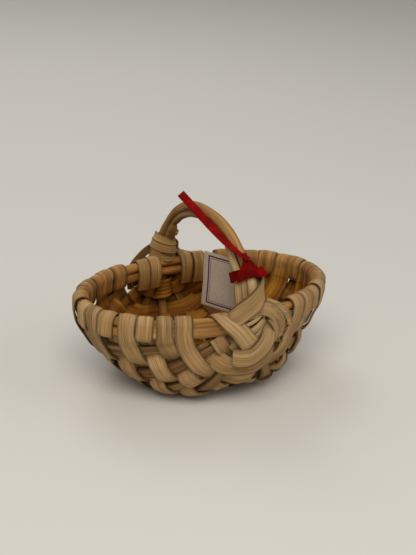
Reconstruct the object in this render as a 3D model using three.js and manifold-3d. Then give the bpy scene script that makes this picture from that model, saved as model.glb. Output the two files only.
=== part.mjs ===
import * as THREE from 'three';
import { mergeVertices } from 'three/addons/utils/BufferGeometryUtils.js';
import Module from 'manifold-3d';

// Buttocks basket: a rim of two stacked hoops crossed by one upright hoop, which is the handle
// above the rim and the spine below it. Flat ribs run from ear to ear, and splints are woven
// over and under them from rim to rim. A card tag hangs on a ribbon tied to the handle.
// Millimetres. X runs along the basket, Y from the near ear to the far ear, Z up.
// The basket stands on its two lobes at Z = 0.

// Frame of hoops, sizes to the middle of the rods
const rimHalfLength = 64.5;
const rimHalfWidth = 38.5;
const spineDepth = 37.5;
const handleHeight = 42.5;
const handleSquareness = 2.3;
const baseSquareness = 3.6;
const lobeSwell = 0.27;
const rimRodRadius = 2.4;
const hoopRadius = 2.2;
const lapRadius = 1.7;
const lapStartAngle = 40;
const lapEndAngle = 152;
const seatGap = 0.3;

// Ribs, as angles round the long axis of the ears, from the left rim (0) to the spine (90)
const ribAngles = [14, 31, 47, 63, 76];
const ribIsEarly = [false, true, false, true, false];
const ribWidth = 6.5;
const ribTipWidth = 2.4;
const ribThickness = 2;
const ribTipThickness = 1.3;
const ribTaperLength = 26;
const earClear = 15.5;

// Woven splints
const rowCount = 15;
const firstRowShare = 0.14;
const splintWidth = 7.2;
const splintThickness = 0.8;
const rowGap = 1.15;
const bowRoom = 0.7;
const crownRoom = 0.25;
const earBandWidth = 8.2;
const tuckLength = 4;
const overAngles = [0, 45, 90, 135, 180];
const hookAngles = [35, 65];
const restFlat = 0.65;

// Ear lashing
const lashThickness = 0.8;
const lashBackRoom = 1.25;
const barHalfWidth = 3.1;
const innerBarPlace = 9;
const outerBarPlace = 16.4;
const barEnd = -4.5;
const footWrapStart = 10;
const footWrapLength = 9;
const footWrapBaseRadius = 5;
const footWrapTopRadius = 4;
const footWrapTurns = 3;
const spineWrapStart = 9;
const spineWrapLength = 5.6;
const spineWrapRadius = 3.3;
const spineWrapTurns = 2;
const turnGroove = 0.4;
const grooveShare = 0.2;
const wrapRoom = 0.45;
const rimRoom = 0.45;

// Ribbon and tag
const ribbonWidth = 4;
const ribbonThickness = 0.5;
const ribbonHeight = 28;
const ribbonLoopWidth = 5;
const ribbonLoopHalf = 4.6;
const knotSize = [3, 2.4, 2.6];
const knotAside = 1.2;
const eyeWidth = 2;
const eyeRise = 2.5;
const eyeRound = 1.5;
const tagWidth = 26;
const tagHeight = 28;
const leafThickness = 0.4;
const leafSpread = 0.5;
const tagTurn = -62;
const tagFoldEdge = [-5.6, -10];
const tagTopRise = 27;
const tagHoleRadius = 2;
const tagHoleFromTop = 3.5;
const tagHoleFromSide = 4;

// Facets
const rodSides = 8;
const rimSides = 6;
const rimSteps = 56;
const hoopSteps = 64;
const lapSteps = 26;
const ribSteps = 26;
const lashSteps = 26;
const wrapSegments = 14;
const tailSteps = 14;
const loopSteps = 20;
const knotSegments = 10;
const knotRings = 7;
const punchSides = 16;
const nudge = 0.01;

// Sizes that follow from those above
const rimOffset = rimRodRadius + seatGap / 2;
const rimStackHalf = rimOffset + rimRodRadius;
const hoopOffset = rimRodRadius + seatGap + hoopRadius;
const hoopHalfWidth = rimHalfWidth + hoopOffset;
const lapOffset = hoopRadius + seatGap + lapRadius;
const rimSeat = rimRodRadius + rimRoom + splintThickness / 2;
const spineSeat = hoopRadius + seatGap + splintThickness / 2;
const lashLift = lashThickness / 2 + seatGap;
const lashStep = lashThickness + seatGap;
const rimTop = rimStackHalf + lashLift;
const rimBack = -(rimRodRadius + lashLift + lashBackRoom);
const rowStep = (1 - 2 * firstRowShare) / (rowCount - 1);
const lateRibShare = firstRowShare + 1.5 * rowStep;
const spineAngle = 90;
const upAxis = new THREE.Vector3(0, 0, 1);
const radians = THREE.MathUtils.degToRad;

// Distance from the middle of a superellipse to its edge, along a direction scaled by its half sizes
function superReach(first, second, power) {
  return (Math.abs(first) ** power + Math.abs(second) ** power) ** (-1 / power);
}

// How far the wall lies from the ear axis, at an angle round it: an ellipse that swells into a lobe
function wallReach(turn) {
  const side = Math.cos(turn);
  const bottom = Math.sin(turn);
  const plain = superReach(side / rimHalfLength, bottom / spineDepth, 2);
  return plain * (1 + lobeSwell * bottom ** 2 * Math.sin(2 * turn) ** 2);
}

// The deepest rib carries the lowest splints, which are pressed flat where the basket stands
const ribDepths = ribAngles.map((angle) => wallReach(radians(angle)) * Math.sin(radians(angle)));
const splintSink = ribThickness / 2 + seatGap + crownRoom + splintThickness;
const rimHeight = Math.max(...ribDepths) + splintSink - restFlat;

// A line on the wall from the near ear to the far ear, at one angle round the ear axis
class WarpLine extends THREE.Curve {
  constructor(turn) {
    super();
    const bottom = Math.sin(turn);
    this.side = Math.cos(turn);
    this.bottom = bottom;
    this.halfWidth = rimHalfWidth + hoopOffset * bottom ** 2;
    this.reach = wallReach(turn);
    this.power = 2 + (baseSquareness - 2) * bottom ** 2;
  }

  getPoint(share, target = new THREE.Vector3()) {
    const along = Math.cos(Math.PI * share);
    const out = Math.sin(Math.PI * share);
    const size = superReach(along / this.halfWidth, out / this.reach, this.power);
    return target.set(-this.side * size * out, -size * along, rimHeight - this.bottom * size * out);
  }
}

const warpLines = new Map();
function warpLine(turn) {
  if (!warpLines.has(turn)) {
    warpLines.set(turn, new WarpLine(turn));
  }
  return warpLines.get(turn);
}

// Place on the wall with its three directions: along the ribs, across them and outward
function wallFrame(share, turn) {
  const point = warpLine(turn).getPointAt(share);
  const along = warpLine(turn).getTangentAt(share);
  const across = warpLine(turn + nudge).getPointAt(share);
  across.sub(warpLine(turn - nudge).getPointAt(share));
  const perTurn = across.length() / (2 * nudge);
  across.addScaledVector(along, -across.dot(along)).normalize();
  const out = along.clone().cross(across);
  return { point, along, across, out, perTurn };
}

// Upright hoop in the plane X = 0, by its angle from the far ear over the handle
function hoopFrame(angle) {
  const at = (turn) => {
    const level = Math.sin(turn);
    const height = level > 0 ? handleHeight : spineDepth;
    const power = level > 0 ? handleSquareness : baseSquareness;
    const size = superReach(Math.cos(turn) / hoopHalfWidth, level / height, power);
    return new THREE.Vector3(0, size * Math.cos(turn), rimHeight + size * level);
  };
  const point = at(angle);
  const along = at(angle + nudge).sub(at(angle - nudge)).normalize();
  const side = new THREE.Vector3(1, 0, 0);
  const out = along.clone().cross(side);
  return { point, along, side, out };
}

// Carries every corner of a geometry to a new place
function reshape(geometry, place) {
  const position = geometry.attributes.position;
  const corner = new THREE.Vector3();
  for (let index = 0; index < position.count; index += 1) {
    corner.fromBufferAttribute(position, index);
    const moved = place(corner, index);
    position.setXYZ(index, moved.x, moved.y, moved.z);
  }
  geometry.computeVertexNormals();
  return geometry;
}

// Flat strip through stations, each with its middle, its crosswise direction and its half width
function strip(stations, thickness) {
  const steps = stations.length - 1;
  const frames = stations.map((station, index) => {
    const before = stations[Math.max(index - 1, 0)].point;
    const after = stations[Math.min(index + 1, steps)].point;
    const along = after.clone().sub(before).normalize();
    const across = station.across.clone();
    across.addScaledVector(along, -across.dot(along)).normalize();
    return { across, up: along.cross(across) };
  });
  return reshape(new THREE.BoxGeometry(1, 1, 1, steps, 1, 1), (corner) => {
    const index = Math.round((corner.x + 0.5) * steps);
    const { across, up } = frames[index];
    const moved = stations[index].point.clone();
    moved.addScaledVector(across, corner.y * 2 * stations[index].halfWidth);
    return moved.addScaledVector(up, corner.z * (stations[index].thickness ?? thickness));
  });
}

// Closed ring of round section, by a function from the share of a turn to a frame
function ring(radius, sides, steps, frameAt) {
  const frames = Array.from({ length: steps }, (_, index) => frameAt(index / steps));
  return reshape(new THREE.TorusGeometry(1, 0.5, sides, steps), (corner, index) => {
    const frame = frames[(index % (steps + 1)) % steps];
    const around = (2 * Math.PI * (Math.floor(index / (steps + 1)) % sides)) / sides;
    const moved = frame.point.clone();
    moved.addScaledVector(frame.out, radius * Math.cos(around));
    return moved.addScaledVector(frame.side, radius * Math.sin(around));
  });
}

// Round rod with cut ends, by a function from the share of its length to a frame
function rod(radius, sides, steps, frameAt) {
  return reshape(new THREE.CylinderGeometry(1, 1, 1, sides, steps), (corner) => {
    const frame = frameAt(corner.y + 0.5);
    const moved = frame.point.clone();
    moved.addScaledVector(frame.out, radius * corner.x);
    return moved.addScaledVector(frame.out.clone().cross(frame.along), radius * corner.z);
  });
}

// Splints and rods
function handleHoop() {
  return ring(hoopRadius, rodSides, hoopSteps, (share) => hoopFrame(2 * Math.PI * share));
}

function handleLap() {
  return rod(lapRadius, rodSides, lapSteps, (share) => {
    const angle = THREE.MathUtils.lerp(lapStartAngle, lapEndAngle, share);
    const frame = hoopFrame(radians(angle));
    frame.point.addScaledVector(frame.out, -lapOffset);
    return frame;
  });
}

function rimHoop(rise) {
  return ring(rimRodRadius, rimSides, rimSteps, (share) => {
    const angle = 2 * Math.PI * share;
    const across = rimHalfLength * Math.cos(angle);
    const outward = rimHalfWidth * Math.sin(angle);
    const point = new THREE.Vector3(across, outward, rimHeight + rise);
    const along = new THREE.Vector3(-rimHalfLength * Math.sin(angle), rimHalfWidth * Math.cos(angle), 0);
    const out = along.normalize().clone().cross(upAxis);
    return { point, side: upAxis.clone(), out };
  });
}

// A rib is widest along the bottom and is shaved thin towards both ears
function ribFullness(share, turn, startShare) {
  const length = warpLine(turn).getLength();
  const fromTip = (Math.min(share, 1 - share) - startShare) * length;
  return THREE.MathUtils.clamp(fromTip / ribTaperLength, 0, 1);
}

function ribStart(number, turn) {
  const early = earClear / warpLine(turn).getLength();
  return ribIsEarly[number] ? early : lateRibShare;
}

function ribSection(number, share, turn) {
  const fullness = ribFullness(share, turn, ribStart(number, turn));
  return {
    halfWidth: THREE.MathUtils.lerp(ribTipWidth, ribWidth, fullness) / 2,
    thickness: THREE.MathUtils.lerp(ribTipThickness, ribThickness, fullness),
  };
}

function rib(number, turn) {
  const start = ribStart(number, turn);
  const stations = [];
  for (let step = 0; step <= ribSteps; step += 1) {
    const share = THREE.MathUtils.lerp(start, 1 - start, step / ribSteps);
    const frame = wallFrame(share, turn);
    stations.push({ point: frame.point, across: frame.across, ...ribSection(number, share, turn) });
  }
  return strip(stations, ribThickness);
}

// What a row crosses, from the left rim to the right rim: its place, its half width and its seat
function warpsOf(share) {
  const ribs = [];
  ribAngles.forEach((angle, number) => {
    if (!ribIsEarly[number] && Math.min(share, 1 - share) < lateRibShare) {
      return;
    }
    const section = ribSection(number, share, radians(angle));
    const seat = section.thickness / 2 + seatGap + splintThickness / 2;
    ribs.push({ angle, halfWidth: section.halfWidth + seatGap, seat });
  });
  const mirrored = ribs.map((warp) => ({ ...warp, angle: 2 * spineAngle - warp.angle })).reverse();
  const rimReach = rimOffset + rimRodRadius;
  const left = { angle: 0, halfWidth: rimReach, seat: rimSeat };
  const spine = { angle: spineAngle, halfWidth: hoopRadius, seat: spineSeat };
  const right = { angle: 2 * spineAngle, halfWidth: rimReach, seat: rimSeat };
  return [left, ...ribs, spine, ...mirrored, right];
}

function splintHalfWidth(turn) {
  const pitch = warpLine(turn).getLength() * rowStep;
  return Math.min(splintWidth, pitch - rowGap) / 2;
}

// Turns of a splint end round the two rim rods, from the wall over the top to the hidden hook
function rimWrap(share, turn, side) {
  const { point: middle, along } = wallFrame(share, turn);
  const outward = along.clone().cross(upAxis).multiplyScalar(-Math.sign(Math.cos(turn)));
  const onArc = (angle, way, level) => [
    way * rimSeat * Math.cos(radians(angle)),
    level * (rimOffset + rimSeat * Math.sin(radians(angle))),
  ];
  const corners = [
    [side * rimSeat, -rimOffset],
    ...overAngles.map((angle) => onArc(angle, side, 1)),
    [-side * rimSeat, -rimOffset],
    ...hookAngles.map((angle) => onArc(angle, -side, -1)),
  ];
  return corners.map(([out, up]) => {
    const point = middle.clone().addScaledVector(outward, out).addScaledVector(upAxis, up);
    return { point, across: along, halfWidth: splintHalfWidth(turn) };
  });
}

function wallStation(share, turn, rise, halfWidth) {
  const frame = wallFrame(share, turn);
  const point = frame.point.addScaledVector(frame.out, rise);
  return { point, across: frame.along, halfWidth };
}

// One woven row: it lies outside one warp and inside the next, and the next row does the opposite.
// The first and last rows are ear bands, which float over the spine and are tucked in behind a rib.
function weaver(row) {
  const share = firstRowShare + (row - 1) * rowStep;
  const isBand = row === 1 || row === rowCount;
  const warps = isBand ? warpsOf(share).slice(1, -1) : warpsOf(share);
  const last = warps.length - 1;
  const lead = Math.min(share, 1 - share) < lateRibShare ? 1 : 0;
  const halfWidthAt = (turn) => (isBand ? earBandWidth / 2 : splintHalfWidth(turn));
  const crossed = warps.map((warp, index) => {
    const isOutside = isBand ? index > 0 && index < last : (index + row + lead) % 2 === 0;
    const turn = radians(warp.angle);
    const perTurn = wallFrame(share, turn).perTurn;
    const spread = warp.halfWidth / perTurn;
    const tuck = tuckLength / perTurn;
    const side = isOutside ? 1 : -1;
    const rise = isOutside ? warp.seat + crownRoom : -warp.seat - bowRoom;
    return { turn, spread, tuck, side, rise };
  });
  const stations = [];
  crossed.forEach((warp, index) => {
    const isEnd = index === 0 || index === last;
    const enter = warp.turn - (index === 0 ? warp.tuck : warp.spread);
    const leave = warp.turn + (index === last ? warp.tuck : warp.spread);
    if (index > 0) {
      const before = crossed[index - 1];
      const middle = (before.turn + before.spread + enter) / 2;
      stations.push(wallStation(share, middle, (before.rise + warp.rise) / 2, halfWidthAt(middle)));
    }
    if (isBand || !isEnd || index === last) {
      stations.push(wallStation(share, enter, warp.rise, halfWidthAt(enter)));
    }
    if (isBand || !isEnd || index === 0) {
      stations.push(wallStation(share, leave, warp.rise, halfWidthAt(leave)));
    }
  });
  if (!isBand) {
    stations.unshift(...rimWrap(share, crossed[0].turn, crossed[0].side).reverse());
    stations.push(...rimWrap(share, crossed[last].turn, crossed[last].side));
  }
  const geometry = strip(stations, splintThickness);
  return reshape(geometry, (corner) => corner.setZ(Math.max(corner.z, 0)));
}

// Place beside an ear: across, up and outward from the line of the rim
function earPoint(outward, across, up, out) {
  const rimLine = rimHalfWidth * Math.sqrt(1 - (across / rimHalfLength) ** 2);
  return new THREE.Vector3(-outward * across, outward * (rimLine + out), rimHeight + up);
}

// How far the upright hoop stands outside the rim, at a height above or below it
function hoopStand(up) {
  const height = up > 0 ? handleHeight : spineDepth;
  const power = up > 0 ? handleSquareness : baseSquareness;
  return hoopHalfWidth * (1 - Math.abs(up / height) ** power) ** (1 / power) - rimHalfWidth;
}

// Each stop of a lashing band: where its middle is, which way it faces and half its width
function stop(across, up, out, facing, halfWidth) {
  return { across, up, out, facing, halfWidth };
}

// A band lies along the inside of the rim, comes up over it and crosses the foot of the handle
function barStops(across) {
  const inside = [0, 0, -1];
  return [
    stop(across, barEnd, rimBack, inside, barHalfWidth),
    stop(across, rimOffset / 2, rimBack, inside, barHalfWidth),
    stop(across, rimTop - lashLift, rimBack / 2, [0, 1, -1], barHalfWidth),
    stop(across, rimTop, 0, [0, 1, 0], barHalfWidth),
  ];
}

const front = [0, 0, 1];
const highFace = hoopStand(12) + footWrapBaseRadius + lashLift;
const lowFace = hoopStand(-12) + spineWrapRadius + lashLift;
const lashRoutes = {
  rising_high: [
    ...barStops(-innerBarPlace),
    stop(-6.8, 7.6, 4.8, [-0.2, 0.6, 1], 3.6),
    stop(0, 12.3, highFace + lashLift, front, 4.8),
    stop(5.8, 16.2, hoopStand(16) + 2.6, [1, 0.1, 0.5], 4.4),
    stop(6, 17, hoopStand(17) - 1.4, [1, 0, -0.3], 3.8),
  ],
  falling_low: [
    ...barStops(-outerBarPlace),
    stop(-13.6, 2.6, 6.6, [0, 0.5, 1], 3.5),
    stop(-8.2, -1.2, 8.2, front, 4.6),
    stop(-2.2, -6.5, 8.8, front, 4.8),
    stop(3.4, -11, lowFace, front, 4.2),
    stop(7, -13.6, 7.4, front, 3),
  ],
  rising_low: [
    ...barStops(outerBarPlace),
    stop(14.6, 3.2, 4, [0, 0.4, 1], 3.9),
    stop(11, -1.2, 5.5, front, 4.2),
    stop(5, -7.4, lowFace + lashStep + 0.3, front, 4.3),
    stop(-2, -11.4, lowFace + lashStep + 0.3, front, 4.2),
    stop(-8.8, -13.4, 9, [-0.1, 0, 1], 3.6),
    stop(-13.6, -13.8, 7, [-0.3, 0, 1], 2.8),
  ],
  falling_high: [
    stop(6.2, 9.2, hoopStand(9) + 0.2, [1, 0.2, 0.2], 2.4),
    stop(8.8, 7.4, 6.6, [0.5, 0.3, 1], 3),
    stop(15.4, 2.6, 8.2, [0, 0.3, 1], 3.4),
    stop(20.2, -2.8, 5, front, 3.2),
    stop(22.4, -6.2, 3.2, [0, -0.2, 1], 2.8),
    stop(22.8, -8.2, 0.4, [0, -1, 0.3], 2.4),
  ],
};

function lash(outward, route) {
  const points = route.map(({ across, up, out }) => earPoint(outward, across, up, out));
  const facings = route.map(({ facing }) => new THREE.Vector3(...facing));
  const curve = new THREE.CatmullRomCurve3(points, false, 'centripetal');
  const stations = [];
  for (let step = 0; step <= lashSteps; step += 1) {
    const share = step / lashSteps;
    const place = curve.getUtoTmapping(share) * (route.length - 1);
    const index = Math.min(Math.floor(place), route.length - 2);
    const facing = facings[index].clone().lerp(facings[index + 1], place - index);
    const turned = new THREE.Vector3(-outward * facing.x, outward * facing.z, facing.y);
    const across = turned.cross(curve.getTangentAt(share)).normalize();
    const halfWidth = THREE.MathUtils.lerp(route[index].halfWidth, route[index + 1].halfWidth, place - index);
    stations.push({ point: curve.getPointAt(share), across, halfWidth });
  }
  return strip(stations, lashThickness);
}

// Turns wound side by side round the hoop, as a sleeve whose outside is grooved between the turns
function hoopWrap(earAngle, direction, start, length, baseRadius, topRadius, turns) {
  const bore = hoopRadius + wrapRoom;
  const profile = [new THREE.Vector2(bore, 0)];
  for (let turn = 0; turn < turns; turn += 1) {
    const low = turn / turns;
    const high = (turn + 1) / turns;
    const lowRadius = THREE.MathUtils.lerp(baseRadius, topRadius, low);
    const highRadius = THREE.MathUtils.lerp(baseRadius, topRadius, high);
    profile.push(new THREE.Vector2(lowRadius - turnGroove, low * length));
    profile.push(new THREE.Vector2(lowRadius, (low + grooveShare / turns) * length));
    profile.push(new THREE.Vector2(highRadius, (high - grooveShare / turns) * length));
  }
  profile.push(new THREE.Vector2(topRadius - turnGroove, length));
  profile.push(new THREE.Vector2(bore, length));
  profile.push(new THREE.Vector2(bore, 0));
  return reshape(new THREE.LatheGeometry(profile, wrapSegments), (corner) => {
    const angle = earAngle + (direction * (start + corner.y)) / hoopHalfWidth;
    const frame = hoopFrame(angle);
    const moved = frame.point.clone();
    moved.addScaledVector(frame.out, corner.x);
    return moved.addScaledVector(frame.side, direction * corner.z);
  });
}

// Ribbon: a loop round both rods of the near leg, a knot outside it, two tails and an eye for the tag
const ribbonAngle = Math.PI - Math.asin(ribbonHeight / Math.hypot(ribbonHeight, hoopHalfWidth));
const legFrame = hoopFrame(ribbonAngle);

function legPoint(side, out, along) {
  const point = legFrame.point.clone();
  point.addScaledVector(legFrame.side, side);
  point.addScaledVector(legFrame.out, out);
  return point.addScaledVector(legFrame.along, along);
}

function ribbonLoop() {
  const lift = seatGap + ribbonThickness / 2;
  const geometry = new THREE.TorusGeometry(1, 0.5, 4, loopSteps);
  return reshape(geometry, (corner, index) => {
    const around = (2 * Math.PI * ((index % (loopSteps + 1)) % loopSteps)) / loopSteps;
    const edge = Math.floor(index / (loopSteps + 1)) % 4;
    const thick = edge === 0 || edge === 3 ? ribbonThickness / 2 : -ribbonThickness / 2;
    const wide = edge < 2 ? -ribbonLoopWidth / 2 : ribbonLoopWidth / 2;
    const outer = Math.cos(around) > 0;
    const radius = (outer ? hoopRadius : lapRadius) + lift + thick;
    const shift = outer ? 0 : -lapOffset;
    const sideRadius = ribbonLoopHalf + thick;
    return legPoint(sideRadius * Math.sin(around), shift + radius * Math.cos(around), wide);
  });
}

const knotMiddle = [-knotAside, hoopRadius + 2 * seatGap + ribbonThickness + knotSize[1], -knotSize[0]];

function ribbonKnot() {
  return reshape(new THREE.SphereGeometry(1, knotSegments, knotRings), (corner) => legPoint(
    knotMiddle[0] + corner.x * knotSize[0],
    knotMiddle[1] + corner.y * knotSize[1],
    knotMiddle[2] + corner.z * knotSize[2],
  ));
}

function ribbonStrip(places, across, width) {
  const curve = new THREE.CatmullRomCurve3(places.map(([x, y, z]) => new THREE.Vector3(x, y, rimHeight + z)));
  const stations = curve.getSpacedPoints(tailSteps).map((point) => ({ point, across, halfWidth: width / 2 }));
  return strip(stations, ribbonThickness);
}

// Routes, in millimetres from the middle of the rim
const longTailRoute = [
  [-2, -41.6, 33.2],
  [-3.8, -34, 34.7],
  [-5, -24, 37.2],
  [-6, -5, 42.5],
  [-7, 15.3, 48.3],
];
const shortTailRoute = [[2.8, -42.3, 28.7], [4, -43.2, 27.2], [6.2, -44.2, 25]];
const longTailAcross = new THREE.Vector3(0.73, -0.08, 0.67);
const shortTailAcross = new THREE.Vector3(0, 0.2, 1);

// Folded card: two leaves that meet at the fold and stand a little apart at the open side
const tagGroup = new THREE.Group();
tagGroup.position.set(tagFoldEdge[0], tagFoldEdge[1], rimHeight + tagTopRise - tagHeight);
tagGroup.rotation.z = radians(tagTurn);

const wasm = await Module();
wasm.setup();

function solidOf(geometry) {
  const bare = geometry.clone();
  bare.deleteAttribute('normal');
  bare.deleteAttribute('uv');
  const merged = mergeVertices(bare, 1e-4);
  const mesh = new wasm.Mesh({
    numProp: 3,
    vertProperties: new Float32Array(merged.attributes.position.array),
    triVerts: new Uint32Array(merged.index.array),
  });
  return new wasm.Manifold(mesh);
}

function geometryOf(solid) {
  const mesh = solid.getMesh();
  const geometry = new THREE.BufferGeometry();
  geometry.setAttribute('position', new THREE.BufferAttribute(new Float32Array(mesh.vertProperties), 3));
  geometry.setIndex(new THREE.BufferAttribute(new Uint32Array(mesh.triVerts), 1));
  geometry.computeVertexNormals();
  return geometry;
}

function tagCard() {
  const open = leafSpread / 2;
  const outline = new THREE.Shape();
  outline.moveTo(0, -leafThickness);
  outline.lineTo(tagWidth, -leafThickness - open);
  outline.lineTo(tagWidth, -open);
  outline.lineTo(leafThickness, 0);
  outline.lineTo(tagWidth, open);
  outline.lineTo(tagWidth, leafThickness + open);
  outline.lineTo(0, leafThickness);
  outline.closePath();
  const card = new THREE.ExtrudeGeometry(outline, { depth: tagHeight, bevelEnabled: false });
  const punch = new THREE.CylinderGeometry(tagHoleRadius, tagHoleRadius, tagWidth, punchSides);
  punch.translate(tagWidth - tagHoleFromSide, 0, tagHeight - tagHoleFromTop);
  return geometryOf(solidOf(card).subtract(solidOf(punch)));
}

function ribbonEye() {
  tagGroup.updateMatrixWorld(true);
  const hole = new THREE.Vector3(tagWidth - tagHoleFromSide, 0, tagHeight - tagHoleFromTop);
  tagGroup.localToWorld(hole);
  const over = tagHoleFromTop + eyeRise;
  const route = [
    [-3.2, -1.35, -1.95],
    [-1.4, -0.9, -0.6],
    [0, 0, 0],
    [1.6, 0.85, 1.8],
    [1.7, 0.9, over - eyeRound],
    [0.2, 0.1, over],
    [-1.9, -0.6, over - eyeRound],
    [-3.4, -0.2, -0.3],
  ];
  const places = route.map(([x, y, z]) => [hole.x + x, hole.y + y, hole.z - rimHeight + z]);
  const across = new THREE.Vector3(Math.cos(radians(tagTurn)), Math.sin(radians(tagTurn)), 0);
  return ribbonStrip(places, across, eyeWidth);
}

const rodFinish = { color: 0xa8763c, roughness: 0.6, metalness: 0 };
const rimFinish = { color: 0xb98a50, roughness: 0.65, metalness: 0 };
const ribFinish = { color: 0x9a7440, roughness: 0.75, metalness: 0 };
const splintFinish = { color: 0xb3966a, roughness: 0.75, metalness: 0 };
const lashFinish = { color: 0xb69a70, roughness: 0.75, metalness: 0 };
const ribbonFinish = { color: 0x96141a, roughness: 0.7, metalness: 0 };
const cardFinish = { color: 0xcfc6bc, roughness: 0.85, metalness: 0 };

const basket = new THREE.Group();

function add(parent, name, geometry, finish) {
  const mesh = new THREE.Mesh(geometry, new THREE.MeshStandardMaterial(finish));
  mesh.name = name;
  parent.add(mesh);
}

add(basket, 'handle_hoop', handleHoop(), rodFinish);
add(basket, 'handle_lap', handleLap(), rodFinish);
add(basket, 'rim_hoop_upper', rimHoop(rimOffset), rimFinish);
add(basket, 'rim_hoop_lower', rimHoop(-rimOffset), rimFinish);
ribAngles.forEach((angle, number) => {
  add(basket, `rib_left_${number + 1}`, rib(number, radians(angle)), ribFinish);
  add(basket, `rib_right_${number + 1}`, rib(number, radians(2 * spineAngle - angle)), ribFinish);
});
for (let row = 1; row <= rowCount; row += 1) {
  add(basket, `weaver_${String(row).padStart(2, '0')}`, weaver(row), splintFinish);
}
[['near', -1, Math.PI], ['far', 1, 0]].forEach(([ear, outward, earAngle]) => {
  Object.entries(lashRoutes).forEach(([name, route]) => {
    add(basket, `${ear}_lash_${name}`, lash(outward, route), lashFinish);
  });
  const spineWrap = hoopWrap(
    earAngle, -outward, spineWrapStart, spineWrapLength, spineWrapRadius, spineWrapRadius, spineWrapTurns,
  );
  add(basket, `${ear}_spine_wrap`, spineWrap, lashFinish);
  const footWrap = hoopWrap(
    earAngle, outward, footWrapStart, footWrapLength, footWrapBaseRadius, footWrapTopRadius, footWrapTurns,
  );
  add(basket, `${ear}_foot_wrap`, footWrap, lashFinish);
});
add(basket, 'ribbon_loop', ribbonLoop(), ribbonFinish);
add(basket, 'ribbon_knot', ribbonKnot(), ribbonFinish);
add(basket, 'ribbon_long_tail', ribbonStrip(longTailRoute, longTailAcross, ribbonWidth), ribbonFinish);
add(basket, 'ribbon_short_tail', ribbonStrip(shortTailRoute, shortTailAcross, ribbonWidth), ribbonFinish);
add(basket, 'ribbon_eye', ribbonEye(), ribbonFinish);
add(tagGroup, 'tag', tagCard(), cardFinish);
basket.add(tagGroup);

export default basket;
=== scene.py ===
import math
import random

import bpy
import numpy as np
from mathutils import Matrix, Vector


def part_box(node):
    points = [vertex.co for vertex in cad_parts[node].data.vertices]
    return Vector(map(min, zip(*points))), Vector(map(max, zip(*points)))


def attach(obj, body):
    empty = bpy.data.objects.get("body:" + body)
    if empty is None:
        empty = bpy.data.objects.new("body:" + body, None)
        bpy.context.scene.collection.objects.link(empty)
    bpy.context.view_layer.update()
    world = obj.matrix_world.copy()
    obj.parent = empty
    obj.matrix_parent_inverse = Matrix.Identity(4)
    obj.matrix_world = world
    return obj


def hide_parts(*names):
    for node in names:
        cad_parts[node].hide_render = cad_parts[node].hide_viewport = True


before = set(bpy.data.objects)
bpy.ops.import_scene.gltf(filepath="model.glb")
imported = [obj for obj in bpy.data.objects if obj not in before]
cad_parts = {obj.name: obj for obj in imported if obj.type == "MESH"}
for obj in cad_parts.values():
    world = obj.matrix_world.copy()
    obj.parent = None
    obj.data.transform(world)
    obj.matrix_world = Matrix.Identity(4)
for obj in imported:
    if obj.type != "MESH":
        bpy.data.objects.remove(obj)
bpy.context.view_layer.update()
mm = 0.001
sideways = np.array([1.0, 0, 0])
upward = np.array([0, 0, 1.0])

# the frame of the basket, sizes to the middle of the rods, in metres
shell = {
    "halfLength": 64.5 * mm,
    "halfWidth": 38.5 * mm,
    "spineDepth": 37.5 * mm,
    "handleHeight": 42.5 * mm,
    "hoopHalfWidth": 43.4 * mm,
    "handleSquareness": 2.3,
    "baseSquareness": 3.6,
    "lobeSwell": 0.27,
    "rimRod": 2.4 * mm,
    "hoopRod": 2.2 * mm,
    "rimOffset": 2.55 * mm,
    "lineSteps": 240,
}
rimHeight = (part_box("rim_hoop_upper")[1].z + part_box("rim_hoop_lower")[0].z) / 2
print("frame loaded, rim at", round(rimHeight / mm, 2), "mm")

# camera at the photo's angle, a little rolled, as the basket sits askew in it
shot = {
    "azimuth": -31.9,
    "elevation": 22.36,
    "roll": 3.63,
    "distance": 0.58,
    "lens": 75.2,
    "sensor": 36,
    "aimRight": 2.46 * mm,
    "aimUp": 7.64 * mm,
}
turnAngle, riseAngle, rollAngle = (math.radians(shot[key]) for key in ("azimuth", "elevation", "roll"))
towardCamera = Vector((
    math.sin(turnAngle) * math.cos(riseAngle),
    -math.cos(turnAngle) * math.cos(riseAngle),
    math.sin(riseAngle),
))
levelRight = Vector((0, 0, 1)).cross(towardCamera).normalized()
levelUp = towardCamera.cross(levelRight)
imageRight = levelRight * math.cos(rollAngle) + levelUp * math.sin(rollAngle)
imageUp = levelUp * math.cos(rollAngle) - levelRight * math.sin(rollAngle)
aim = Vector((0, 0, rimHeight)) + imageRight * shot["aimRight"] + imageUp * shot["aimUp"]
bpy.ops.object.camera_add(location=aim + towardCamera * shot["distance"])
camera = bpy.context.object
camera.name = "camera"
camera.rotation_euler = Matrix((imageRight, imageUp, towardCamera)).transposed().to_euler()
camera.data.lens = shot["lens"]
camera.data.sensor_width = shot["sensor"]
bpy.context.scene.camera = camera
bpy.context.scene.view_settings.view_transform = "Standard"

# soft studio light: a large lamp up left, a weaker one on the right, one behind, and a pale world
studio = {"lampAim": (0, 0, 0.04), "worldTint": (1, 0.985, 0.96, 1), "worldStrength": 0.33}
lamps = {
    "keyLamp": {"place": (-0.45, -0.6, 1.0), "size": 0.8, "power": 9.5, "tint": (1, 0.97, 0.92)},
    "fillLamp": {"place": (0.8, -0.6, 0.6), "size": 0.9, "power": 2.2, "tint": (1, 0.98, 0.96)},
    "backLamp": {"place": (0.1, 0.8, 0.9), "size": 0.6, "power": 3, "tint": (1, 1, 1)},
}
for lampName, lamp in lamps.items():
    bpy.ops.object.light_add(type="AREA", location=lamp["place"])
    light = bpy.context.object
    light.name = lampName
    lampWay = Vector(studio["lampAim"]) - light.location
    light.rotation_euler = lampWay.to_track_quat("-Z", "Y").to_euler()
    light.data.size = lamp["size"]
    light.data.energy = lamp["power"]
    light.data.color = lamp["tint"]
world = bpy.data.worlds.new("studio")
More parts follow.
